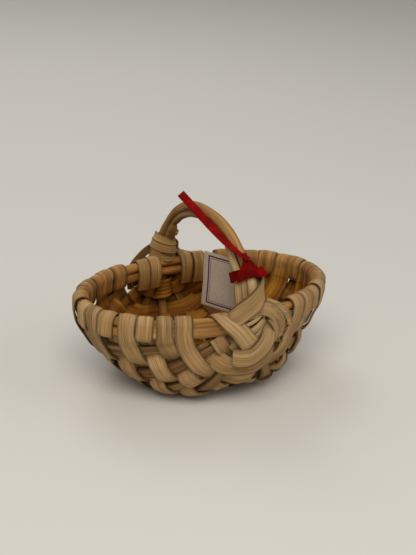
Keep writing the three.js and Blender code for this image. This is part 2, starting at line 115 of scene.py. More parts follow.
bpy.context.scene.world = world
world.use_nodes = True
backdrop = world.node_tree.nodes["Background"]
backdrop.inputs["Color"].default_value = studio["worldTint"]
backdrop.inputs["Strength"].default_value = studio["worldStrength"]


# an sRGB hex colour as linear red, green, blue and alpha
def linear(hexColour):
    channels = [int(hexColour[i:i + 2], 16) / 255 for i in (1, 3, 5)]
    return [c / 12.92 if c <= 0.04045 else ((c + 0.055) / 1.055) ** 2.4 for c in channels] + [1]


def newMaterial(name):
    material = bpy.data.materials.new(name)
    material.use_nodes = True
    return material, material.node_tree.nodes["Principled BSDF"]


# sets a node's inputs by name or number, and links those whose value is a socket
def fillInputs(material, node, inputs):
    for key, value in inputs.items():
        if isinstance(value, bpy.types.NodeSocket):
            material.node_tree.links.new(value, node.inputs[key])
        else:
            node.inputs[key].default_value = value


# a colour Mix takes its factor at input 0 and its colours at 6 and 7, and gives its result at output 2
def addNode(material, kind, inputs=None, **settings):
    node = material.node_tree.nodes.new(kind)
    for key, value in settings.items():
        setattr(node, key, value)
    fillInputs(material, node, inputs or {})
    return node


# stops are (place, hex colour or grey)
def setRamp(node, *stops):
    ramp = node.color_ramp
    while len(ramp.elements) < len(stops):
        ramp.elements.new(0.5)
    for element, (place, colour) in zip(ramp.elements, stops):
        element.position = place
        element.color = linear(colour) if isinstance(colour, str) else (colour, colour, colour, 1)
    return node.outputs["Color"]


# wood split along its grain: the eye sees fine long lines, soft pale and brown streaks, and a dry sheen
wood = {
    "details": {"fine": 4, "broad": 3, "bark": 5, "tone": 1}, "apart": (3.7, 1.9), "noiseRoughness": 0.6,
    "tintPlaces": (0.3, 0.5, 0.7), "linePlaces": (0.34, 0.54), "tonePlaces": (0.32, 0.66),
    "shadeMarkPlaces": (0.25, 1), "barkFade": 0.07, "roughSpread": (0.12, -0.08), "bumpStrength": 0.7,
    "ior": 1.5, "specular": 0.25,
}


def splitWood(name, look):
    material, surface = newMaterial(name)
    grain = addNode(material, "ShaderNodeUVMap", uv_map="grain").outputs["UV"]
    noises = {}
    for part, detail in wood["details"].items():
        along, across = look[part]
        shift = (detail * wood["apart"][0], detail * wood["apart"][1], 0)
        sized = addNode(material, "ShaderNodeMapping", {
            "Vector": grain, "Location": shift, "Scale": (along, across, 1)})
        noises[part] = addNode(material, "ShaderNodeTexNoise", {
            "Vector": sized.outputs["Vector"], "Scale": 1, "Detail": detail,
            "Roughness": wood["noiseRoughness"]}).outputs["Fac"]

    # pale outside and yellowed inside, the yellowing partly aged wood and partly painted shade and warm
    # bounce light, then darkened along lines, in broad tones, and at the edges with painted shade
    tinted = []
    for tints in (look["fresh"], look["old"]):
        streaks = addNode(material, "ShaderNodeValToRGB", {"Fac": noises["broad"]})
        tinted.append(setRamp(streaks, *zip(wood["tintPlaces"], tints)))
    age = addNode(material, "ShaderNodeAttribute", attribute_name="age").outputs["Fac"]
    # the edge attribute darkens the colour: painted shade at the edges of strips, and on the handle the
    # darker far leg
    edge = addNode(material, "ShaderNodeAttribute", attribute_name="edge").outputs["Fac"]
    colour = addNode(
        material, "ShaderNodeMix", {0: age, 6: tinted[0], 7: tinted[1]}, data_type="RGBA").outputs[2]
    for mask, places, greys in (
            (noises["fine"], wood["linePlaces"], (look["lineDepth"], 1)),
            (noises["tone"], wood["tonePlaces"], (look["toneDepth"], 1)),
            (edge, wood["shadeMarkPlaces"], (1, look["shadeMarkDepth"]))):
        shade = setRamp(addNode(material, "ShaderNodeValToRGB", {"Fac": mask}), *zip(places, greys))
        colour = addNode(
            material, "ShaderNodeMix", {0: 1, 6: colour, 7: shade}, data_type="RGBA",
            blend_type="MULTIPLY").outputs[2]

    # flecks of bark that the knife left
    barkMask = setRamp(
        addNode(material, "ShaderNodeValToRGB", {"Fac": noises["bark"]}),
        (look["barkFrom"], 0), (look["barkFrom"] + wood["barkFade"], 1))
    barked = addNode(
        material, "ShaderNodeMix", {0: barkMask, 6: colour, 7: linear(look["barkTint"])}, data_type="RGBA")
    dullest, glossiest = (look["rough"] + spread for spread in wood["roughSpread"])
    roughness = addNode(material, "ShaderNodeMapRange", {
        "Value": noises["fine"], "To Min": dullest, "To Max": glossiest})
    bump = addNode(material, "ShaderNodeBump", {
        "Height": noises["fine"], "Strength": wood["bumpStrength"], "Distance": look["relief"]})
    fillInputs(material, surface, {
        "Base Color": barked.outputs[2], "Roughness": roughness.outputs["Result"],
        "Normal": bump.outputs["Normal"], "IOR": wood["ior"], "Specular IOR Level": wood["specular"]})
    return material


# each pair is per metre, along and across the grain, 1 over the size of a streak: on a splint, lines of
# 25 by 0.5 mm, streaks of 83 by 4 mm, flecks of bark of 110 by 4 mm; tints run from deep to pale
# the old tints, used where wood looks into the basket, are partly aged wood and partly painted shade and warm
# bounce light
splintLook = {
    "fine": (40, 1900), "broad": (12, 260), "bark": (9, 280), "tone": (6, 20),
    "fresh": ("#94733F", "#B28D5B", "#CAA878"), "old": ("#5C2F02", "#95590B", "#BE8424"),
    "barkTint": "#5E4420", "barkFrom": 0.69, "lineDepth": 0.52, "toneDepth": 0.74, "shadeMarkDepth": 0.36,
    "rough": 0.68, "relief": 0.3 * mm,
}
ribLook = dict(
    splintLook, fresh=("#78562A", "#91703F", "#A88756"), old=("#66400B", "#865515", "#9E6B26"),
    bark=(11, 330), barkFrom=0.61, barkTint="#4A3014", lineDepth=0.54, toneDepth=0.78)
lashLook = dict(
    splintLook, fresh=("#9A7A4A", "#B69362", "#CEAF7F"), old=("#80541C", "#9C6E2E", "#B08646"),
    barkFrom=0.74, toneDepth=0.84)
rodLook = dict(
    splintLook, fine=(30, 1000), broad=(20, 190), fresh=("#8E5E26", "#AE7A3A", "#C29252"),
    old=("#8A561C", "#AC722C", "#C28A40"), barkTint="#6E451C", barkFrom=0.62, lineDepth=0.76, rough=0.55)
# the flat rim splint has its own paler tints, raised further as painted light, so that its upright face looks
# lit
rimFaceLook = dict(
    rodLook, fine=(30, 1300), fresh=("#A3713A", "#C29158", "#D6AC76"), lineDepth=0.52, toneDepth=0.86)
barkLook = dict(
    rodLook, broad=(26, 240), bark=(34, 300), fresh=("#7C5828", "#A67A42", "#C0965C"),
    barkTint="#5E3F1B", barkFrom=0.55, toneDepth=0.78, relief=0.45 * mm)
barkedRibLook = dict(
    ribLook, fresh=("#5E3C18", "#7C5429", "#99713F"), bark=(16, 480), barkFrom=0.52, barkTint="#3E2409")
peeledLook = dict(barkLook, fresh=("#84663C", "#A08052", "#B5986C"), barkFrom=0.64)
splintWood = splitWood("splitAshSplint", splintLook)
ribWood = splitWood("rivenAshRib", ribLook)
barkedRibWood = splitWood("barkedAshRib", barkedRibLook)
lashWood = splitWood("wideAshLashing", lashLook)
rimWood = splitWood("peeledVineRim", rodLook)
faceWood = splitWood("flatRimSplint", rimFaceLook)
handleWood = splitWood("barkedVineHandle", barkLook)
peeledWood = splitWood("peeledVineLap", peeledLook)

# grosgrain ribbon: deep red, dull, with fine crosswise cords that catch a little light from their bump, and
# painted shade in the grooves between them;
# a wave of scale 1 repeats every 0.314, and patches of fading are 7 mm, given per metre
cloth = {
    "cordSize": 0.6 * mm, "waveRepeat": 0.314, "distortion": 0.4,
    "fading": 150, "fadePlaces": (0.3, 0.52, 0.75),
    "grooveShadePlaces": (0.1, 0.6), "grooveShadeGreys": (0.78, 1), "bumpStrength": 0.5, "relief": 0.12 * mm,
    "roughness": 0.72, "specular": 0.05,
    # the knot's tints are darker than the tail's: painted shade, for the shade the knot and the band round
    # the leg sit in
    "tailTints": ("#5E0301", "#800602", "#9E0F07"), "knotShadeTints": ("#480201", "#680302", "#840804"),
}


def wovenRibbon(name, tints):
    material, surface = newMaterial(name)
    grain = addNode(material, "ShaderNodeUVMap", uv_map="grain").outputs["UV"]
    cords = addNode(material, "ShaderNodeTexWave", {
        "Vector": grain, "Scale": cloth["waveRepeat"] / cloth["cordSize"],
        "Distortion": cloth["distortion"], "Detail": 1},
        wave_type="BANDS", bands_direction="X").outputs["Fac"]
    fade = addNode(material, "ShaderNodeTexNoise", {
        "Vector": grain, "Scale": cloth["fading"], "Detail": 4}).outputs["Fac"]
    base = setRamp(
        addNode(material, "ShaderNodeValToRGB", {"Fac": fade}), *zip(cloth["fadePlaces"], tints))
    # painted shade in the grooves between the cords
    grooveShade = setRamp(
        addNode(material, "ShaderNodeValToRGB", {"Fac": cords}),
        *zip(cloth["grooveShadePlaces"], cloth["grooveShadeGreys"]))
    colour = addNode(
        material, "ShaderNodeMix", {0: 1, 6: base, 7: grooveShade}, data_type="RGBA", blend_type="MULTIPLY")
    bump = addNode(material, "ShaderNodeBump", {
        "Height": cords, "Strength": cloth["bumpStrength"], "Distance": cloth["relief"]})
    fillInputs(material, surface, {
        "Base Color": colour.outputs[2], "Normal": bump.outputs["Normal"], "Roughness": cloth["roughness"],
        "Specular IOR Level": cloth["specular"]})
    return material


# uncoated card: warm grey-white with faint fibres, and a printed bold and thin line inset from its edges;
# its fibres are drawn about 1 mm long, coarser than real, so that they show, its stains 11 mm, both per metre
paper = {
    # the card's tints are warm like the card, and kept darker than it as painted shade, for the shade the tag
    # hangs in
    "fibre": 1100, "stain": 90, "tints": ("#AF9C88", "#C2AE9A"), "tintPlaces": (0.3, 0.7),
    "stainGreys": (0.9, 1), "stainPlaces": (0.3, 0.65), "ink": "#5A2440", "bumpStrength": 0.25,
    "relief": 0.06 * mm, "roughness": 0.88, "specular": 0.2,
}


def printedCard(width, height, boldLine, thinLine):
    material, surface = newMaterial("uncoatedCard")
    grain = addNode(material, "ShaderNodeUVMap", uv_map="grain").outputs["UV"]
    fibre, stain = (
        addNode(material, "ShaderNodeTexNoise", {
            "Vector": grain, "Scale": paper[part], "Detail": detail}).outputs["Fac"]
        for part, detail in (("fibre", 5), ("stain", 3)))
    sheet = setRamp(
        addNode(material, "ShaderNodeValToRGB", {"Fac": fibre}), *zip(paper["tintPlaces"], paper["tints"]))
    ageing = setRamp(
        addNode(material, "ShaderNodeValToRGB", {"Fac": stain}),
        *zip(paper["stainPlaces"], paper["stainGreys"]))
    aged = addNode(
        material, "ShaderNodeMix", {0: 1, 6: sheet, 7: ageing}, data_type="RGBA", blend_type="MULTIPLY")

    # the border is drawn by the distance to the nearest edge
    axes = addNode(material, "ShaderNodeSeparateXYZ", {"Vector": grain})
    nearest = width
    for axis, size in (("X", width), ("Y", height)):
        place = axes.outputs[axis]
        far = addNode(material, "ShaderNodeMath", {0: size, 1: place}, operation="SUBTRACT").outputs[0]
        for distance in (far, place):
            nearest = addNode(
                material, "ShaderNodeMath", {0: nearest, 1: distance}, operation="MINIMUM").outputs[0]
    masks = [
        addNode(material, "ShaderNodeMath", {0: nearest, 1: inset, 2: half}, operation="COMPARE").outputs[0]
        for inset, half in (boldLine, thinLine)]
    inked = addNode(material, "ShaderNodeMath", {0: masks[0], 1: masks[1]}, operation="MAXIMUM").outputs[0]
    printed = addNode(
        material, "ShaderNodeMix", {0: inked, 6: aged.outputs[2], 7: linear(paper["ink"])}, data_type="RGBA")
    bump = addNode(material, "ShaderNodeBump", {
        "Height": fibre, "Strength": paper["bumpStrength"], "Distance": paper["relief"]})
    fillInputs(material, surface, {
        "Base Color": printed.outputs[2], "Normal": bump.outputs["Normal"], "Roughness": paper["roughness"],
        "Specular IOR Level": paper["specular"]})
    return material


ribbonCloth = wovenRibbon("redGrosgrainRibbon", cloth["tailTints"])
# a darker copy of the ribbon for the knot and the band round the leg: painted shade
shadedKnotCloth = wovenRibbon("tightGrosgrainKnot", cloth["knotShadeTints"])
print("woods and ribbon made")


def deselectAll():
    if bpy.context.mode != "OBJECT":
        bpy.ops.object.mode_set(mode="OBJECT")
    bpy.ops.object.select_all(action="DESELECT")


def finishWith(piece, kind, **settings):
    modifier = piece.modifiers.new(kind, kind)
    for key, value in settings.items():
        setattr(modifier, key, value)
    bpy.context.view_layer.objects.active = piece
    bpy.ops.object.modifier_apply(modifier=modifier.name)


def readMesh(items, key, size=1, kind=float):
    values = np.empty(len(items) * size, dtype=kind)
    items.foreach_get(key, values)
    return values


def paintValues(piece, name, domain, values):
    piece.data.attributes.new(name, "FLOAT", domain).data.foreach_set("value", values)


def unit(rows):
    return rows / np.maximum(np.linalg.norm(rows, axis=-1, keepdims=True), 1e-12)


waver = {"waves": 4, "lengths": (0.5, 1.8), "heights": (0.4, 1)}


# smooth wandering value along a length, from a few waves of random length, phase and height
def wander(seed, length, waveLength):
    draw = random.Random(seed)
    total = np.zeros_like(length)
    for _ in range(waver["waves"]):
        size = waveLength * draw.uniform(*waver["lengths"])
        total += np.sin(2 * math.pi * (length / size + draw.random())) * draw.uniform(*waver["heights"])
    return total / waver["waves"]


# a flat grid, with each vertex's number along and share across
def startGrid(name, alongSteps, acrossSteps, finish):
    deselectAll()
    bpy.ops.mesh.primitive_grid_add(x_subdivisions=alongSteps, y_subdivisions=acrossSteps, size=1)
    piece = bpy.context.object
    piece.name = name
    piece.data.name = name
    piece.data.materials.append(finish)
    piece.data.uv_layers[0].name = "grain"
    flat = readMesh(piece.data.vertices, "co", 3).reshape(-1, 3) + 0.5
    return piece, np.rint(flat[:, 0] * alongSteps).astype(int), flat[:, 1]


# puts a grid's vertices in place, and its grain in metres along and across
def placeGrid(piece, places, along, across, uvStart):
    mesh = piece.data
    mesh.vertices.foreach_set("co", places.ravel())
    corners = readMesh(mesh.loops, "vertex_index", kind=np.int32)
    uv = np.stack([along[corners] + uvStart[0], across[corners] + uvStart[1]], axis=1)
    mesh.uv_layers["grain"].data.foreach_set("uv", uv.ravel())
    mesh.update()


def runLength(points):
    steps = np.linalg.norm(np.diff(points, axis=0), axis=1)
    return np.concatenate([[0], np.cumsum(steps)])


grainReach = 20


# each piece starts at its own place in the grain, so no two look alike
def uvStartOf(seed):
    draw = random.Random(seed * 7 + 1)
    return draw.uniform(0, grainReach), draw.uniform(0, grainReach)


def ease(share):
    return share * share * (3 - 2 * share)


stripForm = {
    "bevelShare": 0.22, "bevelSegments": 2, "bevelAngle": 50, "edgeSeeds": (11, 23), "edgeWave": 14 * mm,
    "warpSeed": 31, "warpWave": 20 * mm, "warp": 0.12 * mm, "edgeShadePower": 6,
}


def thicken(piece, thickness):
    finishWith(piece, "SOLIDIFY", thickness=thickness, offset=0)
    finishWith(
        piece, "BEVEL", width=thickness * stripForm["bevelShare"], segments=stripForm["bevelSegments"],
        limit_method="ANGLE", angle_limit=math.radians(stripForm["bevelAngle"]))


# a flat strip through points, with its crosswise directions and half widths; crown bows its middle outwards,
# and the seed gives it a grain and a waver of its own
def bendStrip(
        name, finish, points, across, halfWidths, thickness, seed, crown=0.0, ragged=0.06, acrossSteps=6):
    points = np.asarray(points, float)
    steps = len(points) - 1
    piece, station, share = startGrid(name, steps, acrossSteps, finish)
    along = unit(np.gradient(points, axis=0))
    across = np.broadcast_to(across, points.shape)
    across = unit(across - along * np.sum(along * across, axis=1, keepdims=True))
    up = np.cross(along, across)
    length = runLength(points)
    leftEdge, rightEdge = (
        1 + ragged * wander(seed + apart, length, stripForm["edgeWave"]) for apart in stripForm["edgeSeeds"])
    side = 2 * share - 1
    edge = np.where(side < 0, leftEdge[station], rightEdge[station])
    reach = side * edge * np.broadcast_to(halfWidths, steps + 1)[station]
    bow = np.broadcast_to(crown, steps + 1)[station]
    warp = stripForm["warp"] * wander(seed + stripForm["warpSeed"], length, stripForm["warpWave"])
    lift = bow * (1 - side ** 2) + warp[station] * side
    places = points[station] + across[station] * reach[:, None] + up[station] * lift[:, None]
    places[:, 2] = np.maximum(places[:, 2], thickness / 2)  # pressed flat where the basket stands
    placeGrid(piece, places, length[station], reach, uvStartOf(seed))
    # painted shade: each strip darkens towards its edges, for the shadow in the gaps between strips
    paintValues(piece, "edge", "POINT", np.abs(side) ** stripForm["edgeShadePower"])
    thicken(piece, thickness)
    return piece


rodForm = {"lobes": 3, "lobeSeed": 5, "lobeWave": 30 * mm, "lobeDrift": 2, "weld": 0.005 * mm}


# a round rod through points, with outward directions and radii; a closed one joins its ends
def bendRod(name, finish, points, outward, radii, seed, lumps, sides=20, closed=False):
    points = np.asarray(points, float)
    steps = len(points) - 1
    piece, station, share = startGrid(name, steps, sides, finish)
    along = np.gradient(points, axis=0)
    if closed:
        along[0] = along[-1] = points[1] - points[-2]
    along = unit(along)
    outward = np.broadcast_to(outward, points.shape)
    outward = unit(outward - along * np.sum(along * outward, axis=1, keepdims=True))
    side = np.cross(outward, along)
    angle = 2 * math.pi * share
    length = runLength(points)
    radius = np.broadcast_to(radii, steps + 1)[station]
    drift = rodForm["lobeDrift"] * wander(seed + rodForm["lobeSeed"], length, rodForm["lobeWave"])
    lump = 1 + lumps * np.sin(rodForm["lobes"] * angle + drift[station])
    spoke = np.cos(angle)[:, None] * outward[station] + np.sin(angle)[:, None] * side[station]
    places = points[station] + spoke * (radius * lump)[:, None]
    placeGrid(piece, places, length[station], angle * np.mean(radii), uvStartOf(seed))
    bpy.ops.object.mode_set(mode="EDIT")
    bpy.ops.mesh.select_all(action="SELECT")
    bpy.ops.mesh.remove_doubles(threshold=rodForm["weld"])
    bpy.ops.mesh.fill_holes(sides=0)
    bpy.ops.mesh.normals_make_consistent(inside=False)
    bpy.ops.object.mode_set(mode="OBJECT")
    return piece


# wood yellows where it looks into the basket, more so below the rim: partly aged wood, partly painted shade
# and warm bounce light from the walls
ageing = {
    "middleRise": 6 * mm, "sideways": 0.1, "facingSpan": 0.5, "topRise": 5 * mm, "depth": 14 * mm,
    "least": 0.6, "startMost": 0.2, "slots": ("splint", "rib_wood", "rod_wood"),
}


def paintAgeAndShadeInside(piece):
    mesh = piece.data
    normals = readMesh(mesh.polygons, "normal", 3).reshape(-1, 3)
    centres = readMesh(mesh.polygons, "center", 3).reshape(-1, 3)
    sizes = readMesh(mesh.polygons, "loop_total", kind=np.int32)
    corners = readMesh(mesh.loops, "vertex_index", kind=np.int32)
    heights = readMesh(mesh.vertices, "co", 3)[2::3]
    middle = upward * (rimHeight + ageing["middleRise"])
    halves = np.array([shell["halfLength"], shell["halfWidth"], shell["spineDepth"]])
    inward = unit((middle - centres) / halves ** 2)
    facing = (np.sum(normals * inward, axis=1) + ageing["sideways"]) / ageing["facingSpan"]
    depth = np.clip((rimHeight + ageing["topRise"] - heights[corners]) / ageing["depth"], 0, 1)
    full = ageing["least"] + (1 - ageing["least"]) * ease(depth)
    start = ageing["startMost"] * random.Random(piece.name).random()
    # painted shade and bounce mixed with age: faces that look inwards and lie deeper below the rim take more
    # of the old tints
    paintValues(piece, "age", "CORNER", start + (1 - start) * np.repeat(np.clip(facing, 0, 1), sizes) * full)


# the piece is shaded, rides on its body and stands for its CAD nodes
def fitPiece(piece, slotName, *nodes, body="basket", smoothAngle=50):
    if slotName in ageing["slots"]:
        paintAgeAndShadeInside(piece)
    deselectAll()
    piece.select_set(True)
    bpy.context.view_layer.objects.active = piece
    bpy.ops.object.shade_smooth_by_angle(angle=math.radians(smoothAngle))
    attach(piece, body)
    if nodes:
        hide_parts(*nodes)
    return piece


stopSteps = 24  # fine steps between two stops


# smooth curve through a few stops, sampled evenly
def smoothRun(stops, steps):
    stops = np.asarray(stops, float)
    padded = np.vstack([2 * stops[0] - stops[1], stops, 2 * stops[-1] - stops[-2]])
    fine = []
    for i in range(1, len(padded) - 2):
        a, b, c, d = padded[i - 1:i + 3]
        for t in np.linspace(0, 1, stopSteps, endpoint=False):
            fine.append(0.5 * (2 * b + (c - a) * t + (2 * a - 5 * b + 4 * c - d) * t ** 2
                               + (3 * b - a - 3 * c + d) * t ** 3))
    fine = np.array(fine + [stops[-1]])
    length = runLength(fine[:, :3])
    even = np.linspace(0, length[-1], steps + 1)
    return np.stack([np.interp(even, length, fine[:, k]) for k in range(fine.shape[1])], axis=1)


# ribbon: the long tail, the band round the leg, its fold, the short tail and the eye
ribbon = {
    "width": 4 * mm,
    "thickness": 0.4 * mm,
    "long": [(-2, -41.6, 33.2), (-3.8, -34, 34.7), (-5, -24, 37.2), (-6, -5, 42.5), (-7, 15.3, 48.3)],
    "longAcross": (0.73, -0.08, 0.67),
    "longTwist": 62,
    "longSteps": 60,
    "twistSpan": 1.7,
    "short": [(2.8, -42.3, 28.7), (4, -43.2, 27.2), (6.2, -44.2, 25)],
    "shortAcross": (0, 0.2, 1),
    "shortSteps": 16,
    "eye": [
        (1.53, -30.77, 21.55), (3.33, -30.32, 22.9), (4.73, -29.42, 23.5), (6.33, -28.57, 25.3),
        (6.43, -28.52, 28), (4.93, -29.32, 29.5), (2.83, -30.02, 28), (1.33, -29.62, 23.2)],
    "eyeAcross": (0.469, -0.883, 0),
    "eyeWidth": 2 * mm,
    "eyeSteps": 60,
    "legAt": (0, -37.69 * mm, 24.32 * mm),
    "bandSwing": (-120, 262),
    "bandPoints": 120,
    "bandGrowth": 0.5 * mm,
    "bandWidth": 4.8 * mm,
    "bandSide": 7 * mm,
    "bandOuter": 5.4 * mm,
    "bandInner": 6.6 * mm,
    "bandAside": -1.1 * mm,
    # (down the leg, aside, out from the leg, half width, drop of its edges), in mm
    "foldRows": [
        (-9.6, -2.4, 5.3, 1.1, 0.1), (-7.2, -2.2, 6.3, 2, 0.5), (-4.8, -1.8, 6.9, 3.4, 1.1),
        (-2.6, -1.4, 6.9, 5.3, 2), (-0.6, -1.1, 6.7, 6.6, 2.9), (1.2, -1.1, 6.4, 6.9, 3.3),
        (2.4, -1.1, 6.2, 6.9, 3.4)],
    "foldGrid": (36, 24),
    "foldRound": 1.5 * mm,
    "crease": 0.35 * mm,
    "creaseTurns": (5.5, 2.2),
}
legPoint = np.array(ribbon["legAt"]) + upward * rimHeight
legOut = np.array([0, -0.86, 0.51])
legDown = np.array([0, -0.51, -0.86])


def ribbonRun(name, part, width, seed, node, twist=0):
    steps, acrossWay = ribbon[part + "Steps"], ribbon[part + "Across"]
    stops = [(x * mm, y * mm, rimHeight + z * mm) for x, y, z in ribbon[part]]
    points = smoothRun(stops, steps)
    turn = math.radians(twist) * np.clip(1 - np.linspace(0, ribbon["twistSpan"], steps + 1), 0, 1)
    face = np.cross(unit(np.gradient(points, axis=0)), acrossWay)
    across = np.outer(np.cos(turn), acrossWay) + face * np.sin(turn)[:, None]
    piece = bendStrip(name, ribbonCloth, points, across, width / 2, ribbon["thickness"], seed, ragged=0.02)
    return fitPiece(piece, "ribbon", node), points


longTail, tailPath = ribbonRun(
    "ribbonLongTail", "long", ribbon["width"], 401, "ribbon_long_tail", ribbon["longTwist"])
shortTail, _ = ribbonRun("ribbonShortTail", "short", ribbon["width"], 402, "ribbon_short_tail")
tagEye, _ = ribbonRun("ribbonTagEye", "eye", ribbon["eyeWidth"], 403, "ribbon_eye")

swing = np.radians(np.linspace(*ribbon["bandSwing"], ribbon["bandPoints"]))
reach = np.where(np.sin(swing) > 0, ribbon["bandOuter"], ribbon["bandInner"])
reach = reach + np.linspace(0, ribbon["bandGrowth"], len(swing))
bandPoints = legPoint + np.outer(ribbon["bandAside"] + ribbon["bandSide"] * np.cos(swing), sideways)
bandPoints = bandPoints + np.outer(reach * np.sin(swing), legOut)
legBand = bendStrip(
    "ribbonLegBand", shadedKnotCloth, bandPoints, legDown, ribbon["bandWidth"] / 2, ribbon["thickness"], 404,
    ragged=0.03)
fitPiece(legBand, "ribbon", "ribbon_loop")

# the fold over the band: narrow where the tail leaves it, spread over the band below
foldSteps, foldAcross = ribbon["foldGrid"]
foldRun = smoothRun(ribbon["foldRows"], foldSteps) * mm
foldKnot, station, share = startGrid("ribbonFoldKnot", foldSteps, foldAcross, shadedKnotCloth)
side = 2 * share - 1
down, aside, out, half, drop = (foldRun[station, k] for k in range(5))
foldShare = station / foldSteps
down = down + ribbon["foldRound"] * side ** 2 * foldShare
acrossTurn, alongTurn = ribbon["creaseTurns"]
crease = np.sin(acrossTurn * side + alongTurn * foldShare) * np.sin(math.pi * foldShare)
places = legPoint + np.outer(aside + half * side, sideways) + np.outer(down, legDown)
places = places + np.outer(out - drop * side ** 2 + ribbon["crease"] * crease, legOut)
placeGrid(foldKnot, places, down, half * side, uvStartOf(405))
thicken(foldKnot, ribbon["thickness"])
fitPiece(foldKnot, "ribbon", "ribbon_knot")


def superReach(first, second, power):
    return (np.abs(first) ** power + np.abs(second) ** power) ** (-1 / power)


# a line on the wall from the near ear to the far ear, at one turn round the ear axis
def wallLine(turn):
    lean, sink = math.cos(turn), math.sin(turn)
    plain = superReach(lean / shell["halfLength"], sink / shell["spineDepth"], 2)
    reach = plain * (1 + shell["lobeSwell"] * sink ** 2 * math.sin(2 * turn) ** 2)
    halfWidth = shell["halfWidth"] + (shell["hoopHalfWidth"] - shell["halfWidth"]) * sink ** 2
    power = 2 + (shell["baseSquareness"] - 2) * sink ** 2
    t = np.linspace(0, math.pi, shell["lineSteps"] + 1)
    size = superReach(np.cos(t) / halfWidth, np.sin(t) / reach, power)
    out = size * np.sin(t)
    points = np.stack([-lean * out, -size * np.cos(t), rimHeight - sink * out], axis=1)
    return points, runLength(points)


def lineAt(points, length, share):
    return np.array([np.interp(share * length[-1], length, points[:, k]) for k in range(3)])


wallProbe = {"share": 0.004, "turn": 0.01}  # small steps that give the ways of the wall


# the wall at a share of a line: place, ways along, to the next line and out, metres per turn, line's length
def wallFrame(share, turn):
    line = wallLine(turn)
    before, point, after = (lineAt(*line, share + step * wallProbe["share"]) for step in (-1, 0, 1))
    along = unit(after - before)
    left, right = (lineAt(*wallLine(turn + step * wallProbe["turn"]), share) for step in (-1, 1))
    perTurn = np.linalg.norm(right - left) / (2 * wallProbe["turn"])
    across = unit(right - left - along * np.dot(right - left, along))
    return point, along, across, np.cross(along, across), perTurn, line[1][-1]


# the upright hoop in the plane of the ears: 0 at the far ear, a quarter turn at the top of the handle
def hoopLine(angles, way=1):
    level = np.sin(angles)
    height = np.where(level > 0, shell["handleHeight"], shell["spineDepth"])
    power = np.where(level > 0, shell["handleSquareness"], shell["baseSquareness"])
    size = superReach(np.cos(angles) / shell["hoopHalfWidth"], level / height, power)
    points = np.stack([np.zeros_like(angles), size * np.cos(angles), rimHeight + size * level], axis=1)
    along = unit(np.gradient(points, axis=0)) * way
    return points, np.cross(along, sideways), along


# rods of the frame; the second rod of the handle is shaved at the far leg, where a stub was cut off;
# widths are (degrees, radius in mm), swells (how much, at, over degrees), wanders (how much, over a length)
rods = {
    "hoopSteps": 300, "lapSteps": 190, "rimSteps": 320, "lapFrom": 10, "lapTo": 168,
    "lapWidths": [
        (10, 1.9), (22, 1.95), (27, 2.4), (34, 2.45), (37, 1.9), (38.5, 1.45), (44, 1.75), (168, 1.75)],
    "swells": [(0.6, 18, 13), (0.18, 80, 55)], "lapSink": 0.25 * mm,
    "hoopWander": (0.06, 40 * mm), "lapWander": (0.05, 22 * mm), "rimWander": (0.05, 40 * mm),
    "stubAngle": 32, "stubLength": 3.4 * mm, "stubRadius": 1.7 * mm, "stubAside": 0.75, "stubInwards": 0.7,
    "stubRings": (1.15, 1.1, 1.02, 1, 0.98, 0.96, 0.95, 0.9, 0.6),
    "farLegDarkSpan": (10 * mm, 30 * mm), "farLegDarkening": 0.6,
}


def wanderRadii(radius, amount, seed, run):
    size, wave = rods[amount]
    return radius * (1 + size * wander(seed, run, wave))


# the far leg is darker, fading towards the top of the handle: partly painted shade, partly its darker bark
def darkenFarLeg(piece):
    depths = readMesh(piece.data.vertices, "co", 3)[1::3]
    start, full = rods["farLegDarkSpan"]
    paintValues(
        piece, "edge", "POINT", rods["farLegDarkening"] * np.clip((depths - start) / (full - start), 0, 1))


angles = np.linspace(0, 2 * math.pi, rods["hoopSteps"] + 1)
hoopPoints, hoopOut, _ = hoopLine(angles)
hoopRadii = wanderRadii(shell["hoopRod"], "hoopWander", 51, runLength(hoopPoints))
for amount, place, span in rods["swells"]:
    hoopRadii *= 1 + amount * np.exp(-((np.degrees(angles) - place) / span) ** 2)
hoopRadii[-1] = hoopRadii[0]
handleHoop = bendRod("handleHoop", handleWood, hoopPoints, hoopOut, hoopRadii, 51, closed=True, lumps=0.06)
darkenFarLeg(handleHoop)
fitPiece(handleHoop, "rod_wood", "handle_hoop")

lapDegrees = np.linspace(rods["lapFrom"], rods["lapTo"], rods["lapSteps"] + 1)
lapPoints, lapOut, _ = hoopLine(np.radians(lapDegrees))
lapWidths = np.interp(lapDegrees, *zip(*rods["lapWidths"])) * mm
lapRadii = wanderRadii(lapWidths, "lapWander", 53, runLength(lapPoints))
lapPoints = lapPoints - lapOut * (shell["hoopRod"] - rods["lapSink"] + lapRadii)[:, None]
handleLap = bendRod("handleLap", peeledWood, lapPoints, lapOut, lapRadii, 53, lumps=0.07)
darkenFarLeg(handleLap)
fitPiece(handleLap, "rod_wood", "handle_lap")

stubStart = np.argmin(np.abs(lapDegrees - rods["stubAngle"]))
stubWay = unit(rods["stubAside"] * sideways - lapOut[stubStart] * rods["stubInwards"])
stubRadii = rods["stubRadius"] * np.array(rods["stubRings"])
stubPoints = lapPoints[stubStart] + np.outer(np.linspace(0, rods["stubLength"], len(stubRadii)), stubWay)
legStub = bendRod(
    "handleCutStub", handleWood, stubPoints, upward, stubRadii, 55, sides=14, lumps=0.12)
darkenFarLeg(legStub)
fitPiece(legStub, "rod_wood")

